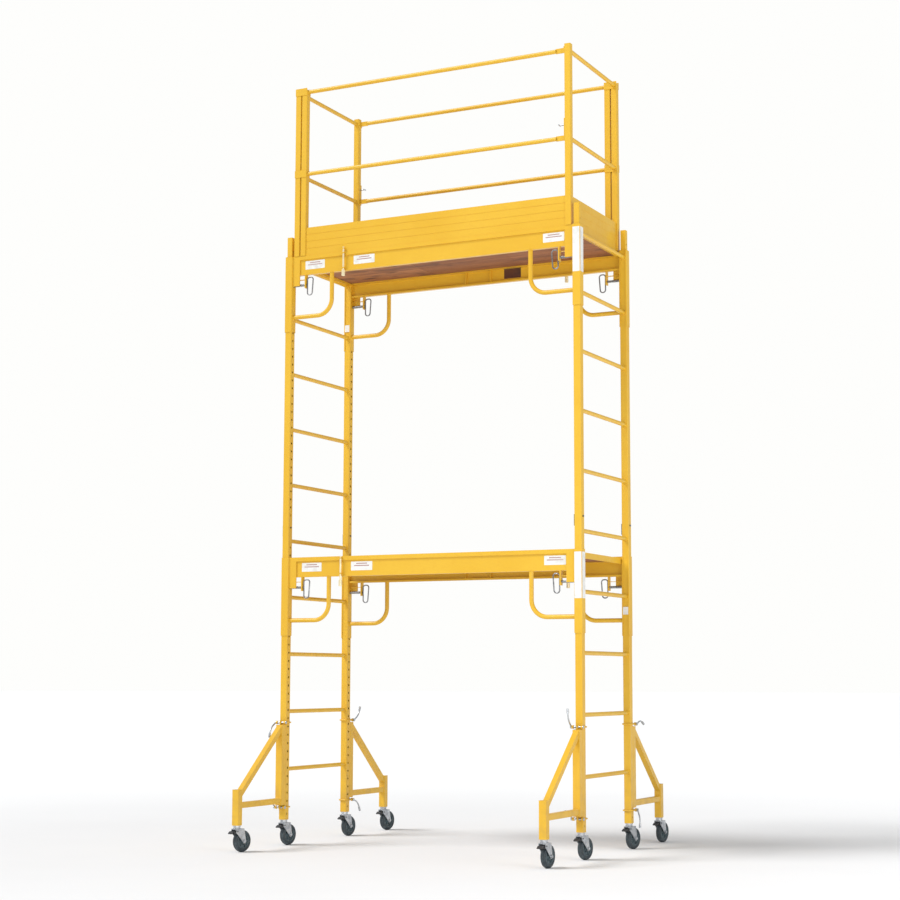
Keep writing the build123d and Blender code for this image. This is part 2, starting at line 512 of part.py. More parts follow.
with BuildPart() as outrigger:
    square_tube((0, member_y, MEMBER_BOTTOM), (0, member_y, MEMBER_TOP), MEMBER_SIDE, TUBE_WALL)
    square_tube((0, OUTRIGGER_REACH, POST_BASE), (0, OUTRIGGER_REACH, FOOT_TOP), POST_SIDE, POST_WALL)
    block((-HALF_POST, foot_near + WELD_GAP, FOOT_TOP + WELD_GAP),
          (HALF_POST, OUTRIGGER_REACH + HALF_POST, FOOT_TOP + PLATE))
    square_tube((0, member_far, STRUT_HEIGHT), (0, foot_near, STRUT_HEIGHT), STRUT_SIDE, TUBE_WALL)

    brace_angle = atan2(BRACE_TOP - FOOT_TOP + BRACE_SIDE * BRACE_SEAT, foot_near - member_far)
    half_rise = BRACE_SIDE / 2 / cos(brace_angle)
    brace_foot = FOOT_TOP - half_rise
    for inset, mode in ((0.0, Mode.ADD), (TUBE_WALL, Mode.SUBTRACT)):
        rise = half_rise - inset / cos(brace_angle)
        with BuildSketch(Plane.YZ.offset(inset - BRACE_SIDE / 2)) as brace_section:
            with BuildLine():
                Polyline((member_far, BRACE_TOP - rise), (member_far, BRACE_TOP + rise),
                         (foot_near, brace_foot + rise), (foot_near, brace_foot - rise), close=True)
            make_face()
        extrude(brace_section.sketch, amount=BRACE_SIDE - 2 * inset, mode=mode)

    for lug_edge, z in ((MEMBER_TOP + WELD_GAP, CLAMP_HEIGHTS["top"]),
                        (MEMBER_BOTTOM - WELD_GAP, CLAMP_HEIGHTS["bottom"])):
        lug_far = z + (LUG_HALF_WIDTH if z > lug_edge else -LUG_HALF_WIDTH)
        block((-PLATE, member_y - LUG_HALF_WIDTH, min(lug_edge, lug_far)),
              (PLATE, member_y + LUG_HALF_WIDTH, max(lug_edge, lug_far)))
        rod((-2 * PLATE, member_y, z), (2 * PLATE, member_y, z), PIVOT_RADIUS + RUNNING, mode=Mode.SUBTRACT)
        with BuildLine() as hook_path:
            FilletPolyline((-hook_x, member_y - HOOK_END, z), (-hook_x, -hook_x, z), (hook_x, -hook_x, z),
                           (hook_x, member_y - HOOK_END, z), radius=HOOK_BEND)
        with BuildSketch(Plane(origin=hook_path.line @ 0, z_dir=hook_path.line % 0)) as hook_section:
            Circle(HOOK_RADIUS)
        sweep(hook_section.sketch, path=hook_path.line)
        for x in (-hook_x, hook_x):
            rod((x - EYE_HALF, member_y, z), (x + EYE_HALF, member_y, z), PIVOT_RADIUS + HOOK_EYE_WALL)
            rod((x - 2 * HOOK_RADIUS, member_y, z), (x + 2 * HOOK_RADIUS, member_y, z),
                PIVOT_RADIUS + RUNNING, mode=Mode.SUBTRACT)

save(placed(outrigger, *[(side * HALF_LENGTH, depth * HALF_WIDTH, 0, 0 if depth > 0 else 180)
                         for side, depth in CORNERS.values()]), "outriggers")

# Clamp levers. Each turns about a pivot along X; its handle is outside the hook on the +X side,
# reaches towards +Y at the given elevation, and curves up or down after a straight start.
LEVER_RADIUS = 4.5
LEVER_STRAIGHT = 32.0
LEVER_BEND = 80.0
LEVER_BEND_ANGLE = 45.0
GRIP_RADIUS = 7.0
GRIP_LENGTH = 26.0
PIVOT_HEAD = 3.0  # thickness of the pivot's heads, and their rim beyond the pivot
HEAD_GAP = 0.35


def clamp_lever(elevation, curl):
    """A lever at rest at this elevation in degrees, with its handle curving up (1) or down (-1)."""
    forward = (0, cos(radians(elevation)), sin(radians(elevation)))
    head = hook_x + EYE_HALF + HEAD_GAP
    lever_x = head + LEVER_RADIUS
    hub_radius = PIVOT_RADIUS + PIVOT_HEAD
    root = hub_radius + WELD_GAP
    with BuildPart() as lever:
        rod((-head - PIVOT_HEAD, 0, 0), (lever_x + LEVER_RADIUS, 0, 0), PIVOT_RADIUS)
        rod((-head - PIVOT_HEAD, 0, 0), (-head, 0, 0), hub_radius)
        rod((head, 0, 0), (lever_x + LEVER_RADIUS, 0, 0), hub_radius)
        with BuildLine(Plane(origin=(lever_x, 0, 0), x_dir=forward, z_dir=(1, 0, 0))) as handle:
            Line((root, 0), (LEVER_STRAIGHT, 0))
            JernArc((LEVER_STRAIGHT, 0), (1, 0), LEVER_BEND, curl * LEVER_BEND_ANGLE)
        with BuildSketch(Plane(origin=handle.line @ 0, z_dir=handle.line % 0)) as handle_section:
            Circle(LEVER_RADIUS)
        sweep(handle_section.sketch, path=handle.line)
        tip = handle.line @ 1
        rod(tip, tip + (handle.line % 1) * GRIP_LENGTH, GRIP_RADIUS)
    return lever


# Elevation and curl at rest of each corner's top and bottom lever
LEVER_REST = {
    "front_left": ((-30, -1), (45, -1)), "front_right": ((43, 1), (45, -1)),
    "back_left": ((26, 1), (-20, -1)), "back_right": ((20, -1), (-50, -1)),
}

for corner, (side, depth) in CORNERS.items():
    for place, (elevation, curl) in zip(("top", "bottom"), LEVER_REST[corner]):
        spot = (side * HALF_LENGTH, depth * (HALF_WIDTH + member_y), CLAMP_HEIGHTS[place],
                0 if depth > 0 else 180)
        save(placed(clamp_lever(elevation, curl), spot), f"clamp_lever_{place}_{corner}")

# Casters. The swivel axis is x = 0, y = 0, and the wheel trails towards +X.
TRAIL = 42.0
AXLE_HEIGHT = WHEEL_DIAMETER / 2
WHEEL_WIDTH = 32.0
AXLE_RADIUS = 6.0
STEM_RADIUS = 17.45
STEM_LENGTH = 90.0
FLANGE_RADIUS = 23.0
RACE_RADIUS = 20.0
KINGPIN_RADIUS = 6.0
CROWN_BOTTOM = 133.0
CROWN_TOP = 137.0
FLANGE_BOTTOM = 149.0
RACE_LIFT = 4.0  # race's underside above the fork's crown
KINGPIN_HEAD = 7.0
KINGPIN_HEAD_RIM = 3.0
LEG_INNER = 19.0
LEG_OUTER = 22.5
LEG_HALF = 12.0  # half of a fork leg's width at the axle
AXLE_BOSS_RADIUS = 13.0
FORK_FRONT = -24.0  # crown's leading edge
FORK_BACK = 40.0  # crown's trailing edge
AXLE_NUT = 4.0  # thickness
AXLE_NUT_RIM = 3.5
AXLE_END = 1.0  # axle's length beyond its nut
CUP_RISE = 3.7
CUP_RIM = 1.5
TREAD_FILLET = 7.0
DISH_DEPTH = 6.0  # hollow in each side of the wheel
DISH_RADII = (17.0, 43.0)
PEDAL_PIVOT = (-14.0, 122.0)  # x and z
PEDAL_PIN_RADIUS = 3.0
PEDAL_PIN_END = 3.0  # beyond the fork's legs
PEDAL_HUB_RADIUS = 5.0
PEDAL_WIDTH = 32.0
PEDAL_OUTLINE = ((0, 4), (-30, 1), (-44, -10), (-41, -14), (-28, -4), (0, -1))  # from its pivot
PEDAL_TURN = 25.0
SHOE_GAP = 0.5  # left between the brake shoe and the tread when the pedal is down
SHOE_WIDTH = 24.0
SHOE_THICKNESS = 7.0

with BuildPart() as caster_stem:
    race_bottom = CROWN_TOP + RACE_LIFT
    kingpin_foot = CROWN_BOTTOM - KINGPIN_HEAD
    rod((0, 0, POST_BASE), (0, 0, POST_BASE + STEM_LENGTH), STEM_RADIUS)
    rod((0, 0, FLANGE_BOTTOM), (0, 0, POST_BASE), FLANGE_RADIUS)
    rod((0, 0, race_bottom), (0, 0, FLANGE_BOTTOM), RACE_RADIUS)
    rod((0, 0, kingpin_foot), (0, 0, race_bottom), KINGPIN_RADIUS)
    rod((0, 0, kingpin_foot), (0, 0, CROWN_BOTTOM - CLEARANCE), KINGPIN_RADIUS + KINGPIN_HEAD_RIM)

with BuildPart() as caster_fork:
    pivot_x, pivot_z = PEDAL_PIVOT
    with BuildSketch(Plane.XZ.offset(-LEG_OUTER)) as leg_section:
        with BuildLine():
            Polyline((FORK_FRONT, CROWN_TOP), (FORK_BACK, CROWN_TOP), (TRAIL + LEG_HALF, AXLE_HEIGHT + 4),
                     (TRAIL - LEG_HALF, AXLE_HEIGHT - 4), (FORK_FRONT, pivot_z - 7), close=True)
        make_face()
        with Locations((TRAIL, AXLE_HEIGHT)):
            Circle(AXLE_BOSS_RADIUS)
    extrude(leg_section.sketch, amount=2 * LEG_OUTER)
    block((2 * FORK_FRONT, -LEG_INNER, 0), (2 * FORK_BACK, LEG_INNER, CROWN_BOTTOM), mode=Mode.SUBTRACT)
    axle_end = LEG_OUTER + AXLE_NUT + AXLE_END
    rod((TRAIL, -axle_end, AXLE_HEIGHT), (TRAIL, axle_end, AXLE_HEIGHT), AXLE_RADIUS)
    for y in (-LEG_OUTER - AXLE_NUT, LEG_OUTER):
        rod((TRAIL, y, AXLE_HEIGHT), (TRAIL, y + AXLE_NUT, AXLE_HEIGHT), AXLE_RADIUS + AXLE_NUT_RIM)
    rod((0, 0, CROWN_TOP), (0, 0, CROWN_TOP + CUP_RISE), RACE_RADIUS + CUP_RIM)
    rod((0, 0, CROWN_BOTTOM - 1), (0, 0, CROWN_TOP + CUP_RISE + 1), KINGPIN_RADIUS + RUNNING,
        mode=Mode.SUBTRACT)
    rod((pivot_x, -LEG_OUTER - 1, pivot_z), (pivot_x, LEG_OUTER + 1, pivot_z),
        PEDAL_PIN_RADIUS + RUNNING, mode=Mode.SUBTRACT)

with BuildPart() as caster_wheel:
    bore_radius = AXLE_RADIUS + RUNNING
    with BuildSketch(Plane.XY.offset(AXLE_HEIGHT)) as wheel_half:
        with Locations((TRAIL - (AXLE_HEIGHT + bore_radius) / 2, 0)):
            Rectangle(AXLE_HEIGHT - bore_radius, WHEEL_WIDTH)
        tread_x = TRAIL - AXLE_HEIGHT
        fillet(wheel_half.vertices().filter_by(lambda v: v.X < tread_x + 1), TREAD_FILLET)
        for side in (-1, 1):
            with Locations((TRAIL - (DISH_RADII[0] + DISH_RADII[1]) / 2, side * WHEEL_WIDTH / 2)):
                Rectangle(DISH_RADII[1] - DISH_RADII[0], 2 * DISH_DEPTH, mode=Mode.SUBTRACT)
    revolve(wheel_half.sketch, axis=Axis((TRAIL, 0, AXLE_HEIGHT), (0, 1, 0)))

with BuildPart() as brake_pedal:
    hub_end = LEG_INNER - CLEARANCE
    pin_end = LEG_OUTER + PEDAL_PIN_END
    rod((pivot_x, -hub_end, pivot_z), (pivot_x, hub_end, pivot_z), PEDAL_HUB_RADIUS)
    rod((pivot_x, -pin_end, pivot_z), (pivot_x, pin_end, pivot_z), PEDAL_PIN_RADIUS)
    with BuildSketch(Plane.XZ.offset(-PEDAL_WIDTH / 2)) as pedal_section:
        with BuildLine():
            Polyline(*[(pivot_x + x, pivot_z + z) for x, z in PEDAL_OUTLINE], close=True)
        make_face()
    extrude(pedal_section.sketch, amount=PEDAL_WIDTH)
    to_axle = atan2(AXLE_HEIGHT - pivot_z, TRAIL - pivot_x)
    shoe_length = hypot(AXLE_HEIGHT - pivot_z, TRAIL - pivot_x) - AXLE_HEIGHT - SHOE_GAP
    shoe_turn = -degrees(to_axle) + PEDAL_TURN
    with Locations(Location((pivot_x, 0, pivot_z), (0, shoe_turn, 0))):
        Box(shoe_length, SHOE_WIDTH, SHOE_THICKNESS, align=(Align.MIN, Align.CENTER, Align.CENTER))

# Each caster has its own heading: the direction its wheel trails in, in degrees from +X
HEADINGS = {
    "front_left": (82, 78), "front_right": (80, 86), "back_left": (84, 79), "back_right": (78, 83),
}
stem_spots = []
for corner, (side, depth) in CORNERS.items():
    for reach, heading, place in zip((0, OUTRIGGER_REACH), HEADINGS[corner], ("post", "outer")):
        spot = (side * HALF_LENGTH, depth * (HALF_WIDTH + reach), 0, heading)
        stem_spots.append(spot)
        for piece, kind in ((caster_fork, "fork"), (caster_wheel, "wheel"), (brake_pedal, "brake")):
            save(placed(piece, spot), f"caster_{kind}_{corner}_{place}")
save(placed(caster_stem, *stem_spots), "caster_stems")
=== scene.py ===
import json
import math
import random

import bmesh
import bpy
from mathutils import Matrix, Vector


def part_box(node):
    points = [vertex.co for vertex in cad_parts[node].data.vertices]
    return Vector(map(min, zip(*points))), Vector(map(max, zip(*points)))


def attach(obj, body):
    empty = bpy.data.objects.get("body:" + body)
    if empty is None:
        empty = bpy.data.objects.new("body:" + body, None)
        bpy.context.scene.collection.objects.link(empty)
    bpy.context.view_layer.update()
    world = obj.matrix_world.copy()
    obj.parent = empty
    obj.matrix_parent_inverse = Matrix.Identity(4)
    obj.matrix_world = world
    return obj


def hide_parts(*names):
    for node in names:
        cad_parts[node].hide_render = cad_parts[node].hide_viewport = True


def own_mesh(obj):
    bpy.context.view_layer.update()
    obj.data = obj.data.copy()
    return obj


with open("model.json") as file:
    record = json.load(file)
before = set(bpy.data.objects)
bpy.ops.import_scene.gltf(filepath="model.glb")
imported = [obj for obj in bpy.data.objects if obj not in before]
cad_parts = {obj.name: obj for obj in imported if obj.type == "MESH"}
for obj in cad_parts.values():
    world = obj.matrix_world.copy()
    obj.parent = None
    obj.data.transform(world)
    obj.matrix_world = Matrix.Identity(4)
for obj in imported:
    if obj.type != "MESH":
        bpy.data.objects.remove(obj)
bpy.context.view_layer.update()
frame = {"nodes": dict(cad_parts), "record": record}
random.seed(11)
record = frame["record"]
joints = {joint["child"]: joint for joint in record["behaviour"]["joints"]}
MM = 0.001

# ---------------------------------------------------------------- measurements
# The large ones come from the frame. The rest are the part's own sizes, and all drops are below a
# platform's top.
frame_low, frame_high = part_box("lower_frame_right")
half_length = (frame_low.x + frame_high.x) / 2
half_post = (frame_high.x - frame_low.x) / 2
half_width = frame_high.y - half_post
post_base = frame_low.z
joint_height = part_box("upper_frame_right")[0].z
RUNGS_PER_FRAME = 5
RUNG_PITCH = 350 * MM
FIRST_RUNG = 304 * MM  # above a frame's foot
RUNG_RADIUS = 12.7 * MM

platform_tops = {level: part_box(f"side_brackets_{level}")[1].z for level in ("lower", "upper")}
SLEEVE_HALF = 25.5 * MM
sleeve_face = half_length - SLEEVE_HALF
RAIL_DEPTH = 122 * MM
RAIL_BEAD_INSET = 4 * MM  # the bead stops this far short of the rail's edges
LIP_OUTER = 16 * MM  # outward from the posts' centre plane, like the next two
WEB_OUTER = 9 * MM
GUSSET_OUTER = 14 * MM
PLATE = 3 * MM
LEDGE_DROP = 30 * MM
DECK_TOP_DROP = 11 * MM
BRACE_RADIUS = 13.45 * MM
BRACE_INSET = 302 * MM
BRACE_DROP = 387 * MM
GUSSET_WIDTH = 50 * MM
GUSSET_BEAD_INSET = 6 * MM
EAR_INSET = 90 * MM  # from the sleeve's face
EAR_HALF = 4 * MM  # from the ear's middle to the middle of its bead
EAR_INNER, EAR_OUTER = -10 * MM, 12 * MM
STRAP_DROP = 152 * MM
STRAP_HALF_WIDTH = 8 * MM
PIN_DROP = 185 * MM
SEAM_X = 327 * MM  # between the boards of a deck

GUARD_POST = 38.1 * MM
HALF_GUARD_POST = GUARD_POST / 2
DOUBLE_POST_PITCH = 45 * MM
SINGLE_POST_RISE = 35 * MM  # above the top rail's centre
DOUBLE_POST_RISE = 13 * MM
LATCH_PLATE = 5.1 * MM  # with the gap behind it
FLAT_END_LENGTH = 54 * MM
FLAT_END_RADIUS = RUNG_RADIUS * 0.9
gate_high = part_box("guardrail_end_gates")[1]
guard_x = gate_high.x - HALF_GUARD_POST
top_rail = gate_high.z - SINGLE_POST_RISE
mid_rail = top_rail - 535 * MM

# Where an outrigger's tubes are welded, in millimetres: outward from the post's centre, height, and
# half the tube's width and height there.
OUTRIGGER_WELDS = ((67.6, 270, 17, 17), (494.7, 270, 17, 17), (67.6, 700, 16, 21), (494.7, 338, 16, 20))
CORNERS = {"front_left": (-1, -1), "front_right": (1, -1), "back_left": (-1, 1), "back_right": (1, 1)}

BEAD_SIDES = 6
BEAD = 2.4 * MM  # radius of a common weld bead, and of a thin and a fine one
THIN_BEAD = 2.0 * MM
FINE_BEAD = 1.8 * MM
SPRING_TURNS = 11
SPRING_STEPS = 16  # in each turn
SPRING_RADIUS = 8 * MM
SPRING_WIRE = 0.8 * MM
SPRING_FAR, SPRING_NEAR = 86.5 * MM, 7.5 * MM  # the spring's ends, inboard of the sleeve's face
RIBS = 6
RIB_MIDDLE = 27.2 * MM
RIB_HALF_LENGTH = 10.4 * MM
RIB_HALF_THICKNESS = 2.2 * MM
RIB_RISE = 5.2 * MM
HALF_WEB = 6 * MM
LEG_OUTER = 22.5 * MM  # a fork leg's outer face, from the wheel's middle plane
SPACER_PLACE = 16.1 * MM
WASHER = (10.6 * MM, 6.0 * MM, 1.6 * MM)  # outer and inner radius and thickness
SPACER = (8.5 * MM, 6.2 * MM, 2.8 * MM)
NUT_SEAT = 1.5 * MM  # above the leg's face, a little inside the washer
NUT_FLATS = 16 * MM
NUT_HEIGHT = 5.4 * MM
AXLE_END_SEAT = 6.6 * MM  # above the leg's face, a little inside the nut
AXLE_END = (4.0 * MM, 1.4 * MM)  # radius and rise
DUST_CUP_HEIGHT = 137.2 * MM

LABEL_LIFT = 0.05 * MM  # between a label and the paint behind it
LABEL = 0.3 * MM  # thickness
LABEL_CORNER = 2 * MM
RAIL_LABELS = ((-797, 70), (-445, 74), (832, 68))  # middle in x and half length, in millimetres
RAIL_LABEL_DROP = 62 * MM
RAIL_LABEL_HALF_HEIGHT = 27 * MM
LABEL_BARS = ((47, 38), (60, 52))  # drop and half length, in millimetres
BAR_HALF_HEIGHT = 3 * MM
BAR = 0.05 * MM
SLEEVE_LABEL_DROP = 150 * MM
SLEEVE_LABEL_HALF = (22 * MM, 133 * MM)
SMALL_LABEL_DROP = 330 * MM
SMALL_LABEL_HALF = (17 * MM, 23 * MM)
# Where the dark brown patch sits on the back rail's inner face, under the upper deck.
DARK_PATCH_X = 216.5 * MM
DARK_PATCH_DROP = 63.5 * MM
DARK_PATCH_HALF = (59 * MM, 33 * MM)

END_SCREWS = 930 * MM
SIDE_SCREWS = 335 * MM
MIDDLE_SCREWS = 640 * MM
SEAM_SCREWS = 18 * MM  # from a seam to the screws beside it
END_SCREW_PITCH = 170 * MM
SCREW_HEAD = (5.2 * MM, 1.1 * MM)  # radius and height
SCREW_SUNK = 0.2 * MM
CAP_INSET = 2.1 * MM  # from a guard post's faces to its cap's edges
CAP_DEPTH = 2.4 * MM  # cap's underside below the post's top
CAP = 2.0 * MM


# ---------------------------------------------------------------- materials
class Nodes:
    """A material's node tree, with short calls for the nodes it is built from."""

    def __init__(self, name):
        self.material = bpy.data.materials.new(name)
        self.material.use_nodes = True
        self.tree = self.material.node_tree
        self.shader = self.tree.nodes["Principled BSDF"]
        self.coordinates = self.tree.nodes.new("ShaderNodeTexCoord").outputs["Object"]

    def join(self, value, socket):
        """Links an output to a socket, or sets the socket to a value."""
        if isinstance(value, bpy.types.NodeSocket):
            self.tree.links.new(value, socket)
        else:
            socket.default_value = value

    def node(self, kind, **values):
        """A new node with its properties set."""
        made = self.tree.nodes.new(kind)
        for name, value in values.items():
            setattr(made, name, value)
        return made

    def mapped(self, scale, turn=(0, 0, 0)):
        """The object's coordinates, scaled along each axis and turned."""
        made = self.node("ShaderNodeMapping")
        self.join(self.coordinates, made.inputs["Vector"])
        made.inputs["Scale"].default_value = scale
        made.inputs["Rotation"].default_value = turn
        return made.outputs["Vector"]

    def noise(self, scale, detail=4.0, roughness=0.55, vector=None, distortion=0.0):
        made = self.node("ShaderNodeTexNoise")
        self.join(vector or self.coordinates, made.inputs["Vector"])
        for name, value in (("Scale", scale), ("Detail", detail), ("Roughness", roughness),
                            ("Distortion", distortion)):
            made.inputs[name].default_value = value
        return made.outputs[0]

    def ramp(self, value, low, high, start=0.0, end=1.0):
        """Maps value from low..high to start..end, smoothly, and holds it outside."""
        made = self.node("ShaderNodeMapRange", interpolation_type="SMOOTHSTEP")
        self.join(value, made.inputs["Value"])
        for name, number in (("From Min", low), ("From Max", high), ("To Min", start), ("To Max", end)):
            made.inputs[name].default_value = number
        return made.outputs["Result"]

    def math(self, operation, a, b=0.0):
        made = self.node("ShaderNodeMath", operation=operation)
        self.join(a, made.inputs[0])
        self.join(b, made.inputs[1])
        return made.outputs[0]

    def mix(self, share, first, second):
        """Blends two colours; share is the second one's."""
        made = self.node("ShaderNodeMix", data_type="RGBA")
        self.join(share, made.inputs[0])
        for value, socket in ((first, made.inputs[6]), (second, made.inputs[7])):
            self.join(value if isinstance(value, bpy.types.NodeSocket) else (*value, 1.0), socket)
        return made.outputs[2]

    def axis(self, name):
        """One of the object's coordinates."""
        made = self.node("ShaderNodeSeparateXYZ")
        self.join(self.coordinates, made.inputs[0])
        return made.outputs[name]

    def finish(self, colour, roughness, height=None, strength=0.3, distance=0.0004, **fixed):
        """Joins everything to the shader; fixed are further inputs of the shader."""
        self.join(colour, self.shader.inputs["Base Color"])
        self.join(roughness, self.shader.inputs["Roughness"])
        for name, value in fixed.items():
            self.shader.inputs[name.replace("_", " ")].default_value = value
        if height is not None:
            bump = self.node("ShaderNodeBump")
            bump.inputs["Strength"].default_value = strength
            bump.inputs["Distance"].default_value = distance
            self.join(height, bump.inputs["Height"])
            self.join(bump.outputs["Normal"], self.shader.inputs["Normal"])
        return self.material


def yellow_paint():
    """Yellow paint, rubbed and chipped where it is handled and dirty near the floor."""
    n = Nodes("yellow_paint_look")
    drift = n.noise(1.7, 3.0)
    colour = n.mix(n.ramp(drift, 0.35, 0.7), (0.775, 0.470, 0.038), (0.735, 0.425, 0.028))
    mottle = n.noise(26.0, 5.0)
    colour = n.mix(n.ramp(mottle, 0.45, 0.75, 0.0, 0.4), colour, (0.73, 0.405, 0.024))
    handled = n.ramp(n.noise(5.0, 2.0), 0.52, 0.68)
    rub = n.ramp(n.noise(1.0, 6.0, 0.7, n.mapped((150, 150, 14))), 0.64, 0.74)
    rub = n.math("MULTIPLY", rub, handled)
    colour = n.mix(n.math("MULTIPLY", rub, 0.5), colour, (0.48, 0.30, 0.080))
    chips = n.math("MULTIPLY", n.ramp(n.noise(210.0, 3.0), 0.72, 0.76), handled)
    colour = n.mix(n.math("MULTIPLY", chips, 0.75), colour, (0.24, 0.21, 0.18))
    grime = n.ramp(n.axis("Z"), 0.05, 0.75, 1.0, 0.0)
    grime = n.math("MULTIPLY", grime, n.ramp(n.noise(14.0, 6.0), 0.42, 0.72))
    colour = n.mix(n.math("MULTIPLY", grime, 0.35), colour, (0.40, 0.25, 0.08))
    peel = n.noise(420.0, 2.0)
    rough = n.math("ADD", n.ramp(mottle, 0.3, 0.8, 0.30, 0.44), n.math("MULTIPLY", rub, 0.18))
    height = n.math("SUBTRACT", n.math("MULTIPLY", peel, 0.4), n.math("MULTIPLY", chips, 0.8))
    return n.finish(colour, rough, height, 0.22, 0.0003, Coat_Weight=0.1, Coat_Roughness=0.16,
                    Specular_IOR_Level=0.35)


def steel(name, light, dark, rough_low, rough_high, metallic=0.9):
    """Clouded and stained metal with fine lines along Z."""
    n = Nodes(name)
    cloud = n.noise(38.0, 5.0, 0.6)
    colour = n.mix(n.ramp(cloud, 0.35, 0.7), light, dark)
    stain = n.ramp(n.noise(120.0, 3.0), 0.62, 0.74)
    colour = n.mix(n.math("MULTIPLY", stain, 0.4), colour, tuple(0.55 * c for c in dark))
    drawn = n.noise(1.0, 4.0, 0.6, n.mapped((900, 900, 60)))
    rough = n.math("ADD", n.ramp(cloud, 0.3, 0.75, rough_low, rough_high), n.math("MULTIPLY", stain, 0.15))
    return n.finish(colour, rough, drawn, 0.25, 0.0002, Metallic=metallic)


def plywood():
    """Plywood boards: dark below with damp blotches and knots, worn on top, with plies at the edges."""
    n = Nodes("plywood_look")
    x, z = n.axis("X"), n.axis("Z")
    left = n.math("LESS_THAN", x, -SEAM_X)
    right = n.math("GREATER_THAN", x, SEAM_X)
    base = n.mix(left, (0.345, 0.128, 0.040), (0.450, 0.180, 0.062))
    base = n.mix(right, base, (0.400, 0.150, 0.050))
    flow = n.noise(1.0, 7.0, 0.62, n.mapped((2.2, 38.0, 38.0)), 0.7)
    fine = n.noise(1.0, 5.0, 0.65, n.mapped((9.0, 420.0, 420.0)))
    colour = n.mix(n.ramp(flow, 0.36, 0.68, 0.0, 0.75), base, (0.190, 0.066, 0.026))
    colour = n.mix(n.ramp(fine, 0.45, 0.72, 0.0, 0.4), colour, (0.130, 0.047, 0.022))
    damp = n.ramp(n.noise(1.0, 3.0, 0.5, n.mapped((3.4, 8.0, 8.0))), 0.56, 0.63)
    colour = n.mix(n.math("MULTIPLY", damp, 0.5), colour, (0.085, 0.036, 0.020))
    knots = n.node("ShaderNodeTexVoronoi", feature="F1")
    n.join(n.mapped((2.4, 7.0, 3.0), (0, 0, 0.2)), knots.inputs["Vector"])
    knots.inputs["Scale"].default_value = 1.0
    knot = n.ramp(knots.outputs["Distance"], 0.07, 0.17, 1.0, 0.0)
    colour = n.mix(n.math("MULTIPLY", knot, 0.72), colour, (0.048, 0.022, 0.014))
    worn = n.ramp(n.noise(5.5, 4.0), 0.5, 0.75)
    split = n.node("ShaderNodeSeparateXYZ")
    n.join(n.node("ShaderNodeNewGeometry").outputs["Normal"], split.inputs[0])
    facing_up = n.math("GREATER_THAN", split.outputs["Z"], 0.5)
    top = n.mix(n.ramp(flow, 0.36, 0.68, 0.15, 0.85), (0.560, 0.325, 0.150), (0.360, 0.180, 0.078))
    top = n.mix(n.math("MULTIPLY", knot, 0.5), top, (0.150, 0.070, 0.035))
    top = n.mix(n.math("MULTIPLY", worn, 0.35), top, (0.300, 0.235, 0.175))
    colour = n.mix(facing_up, colour, top)
    side = n.math("LESS_THAN", n.math("ABSOLUTE", split.outputs["Z"]), 0.3)
    ply = n.math("PINGPONG", z, 0.0019)
    layers = n.mix(n.ramp(ply, 0.0006, 0.0012), (0.52, 0.30, 0.15), (0.25, 0.115, 0.055))
    colour = n.mix(side, colour, layers)
    rough = n.ramp(fine, 0.3, 0.75, 0.62, 0.85)
    height = n.math("ADD", n.math("MULTIPLY", fine, 0.7), n.math("MULTIPLY", flow, 0.5))
    return n.finish(colour, rough, height, 0.45, 0.0007)


def rubber():
    """Blue-grey rubber with dust and scuffs."""
    n = Nodes("rubber_look")
    dust = n.ramp(n.noise(34.0, 6.0, 0.65), 0.45, 0.72)
    colour = n.mix(dust, (0.024, 0.036, 0.044), (0.070, 0.096, 0.108))
    scuff = n.ramp(n.noise(1.0, 4.0, 0.6, n.mapped((60, 260, 60))), 0.6, 0.75)
    colour = n.mix(n.math("MULTIPLY", scuff, 0.4), colour, (0.115, 0.125, 0.125))
    rough = n.math("ADD", n.ramp(dust, 0.0, 1.0, 0.42, 0.66), n.math("MULTIPLY", scuff, 0.12))
    return n.finish(colour, rough, n.noise(700.0, 3.0), 0.3, 0.0003)


def hub_plastic():
    """The wheel core's speckled grey plastic."""
    n = Nodes("wheel_core_look")
    cloud = n.noise(45.0, 5.0)
    colour = n.mix(n.ramp(cloud, 0.35, 0.7), (0.085, 0.120, 0.135), (0.050, 0.072, 0.082))
    specks = n.ramp(n.noise(260.0, 2.0), 0.66, 0.74)
    colour = n.mix(n.math("MULTIPLY", specks, 0.5), colour, (0.18, 0.20, 0.20))
    return n.finish(colour, n.ramp(cloud, 0.3, 0.7, 0.34, 0.52), n.noise(500.0, 2.0), 0.2, 0.0002)


def black_steel():
    """Black coated steel, worn bright in places."""
    n = Nodes("black_steel_look")
    cloud = n.noise(55.0, 4.0)
    worn = n.ramp(n.noise(150.0, 4.0), 0.62, 0.72)
    colour = n.mix(n.ramp(cloud, 0.35, 0.7), (0.016, 0.017, 0.019), (0.032, 0.033, 0.036))
    colour = n.mix(n.math("MULTIPLY", worn, 0.55), colour, (0.17, 0.165, 0.16))
    return n.finish(colour, n.ramp(cloud, 0.3, 0.75, 0.33, 0.5), n.noise(600.0, 2.0), 0.25, 0.0002)


def label(name, light, dark):
    """A faded and scuffed flat sheet, for the stickers and the dark brown patch."""
    n = Nodes(name)
    wear = n.noise(22.0, 5.0)
    colour = n.mix(n.ramp(wear, 0.45, 0.75, 0.0, 0.8), light, dark)
    scuff = n.ramp(n.noise(1.0, 3.0, 0.6, n.mapped((40, 40, 400))), 0.66, 0.75)
    colour = n.mix(n.math("MULTIPLY", scuff, 0.35), colour, tuple(0.6 * c for c in dark))
    return n.finish(colour, n.ramp(wear, 0.3, 0.8, 0.35, 0.55), n.noise(160.0, 3.0), 0.12, 0.0002)


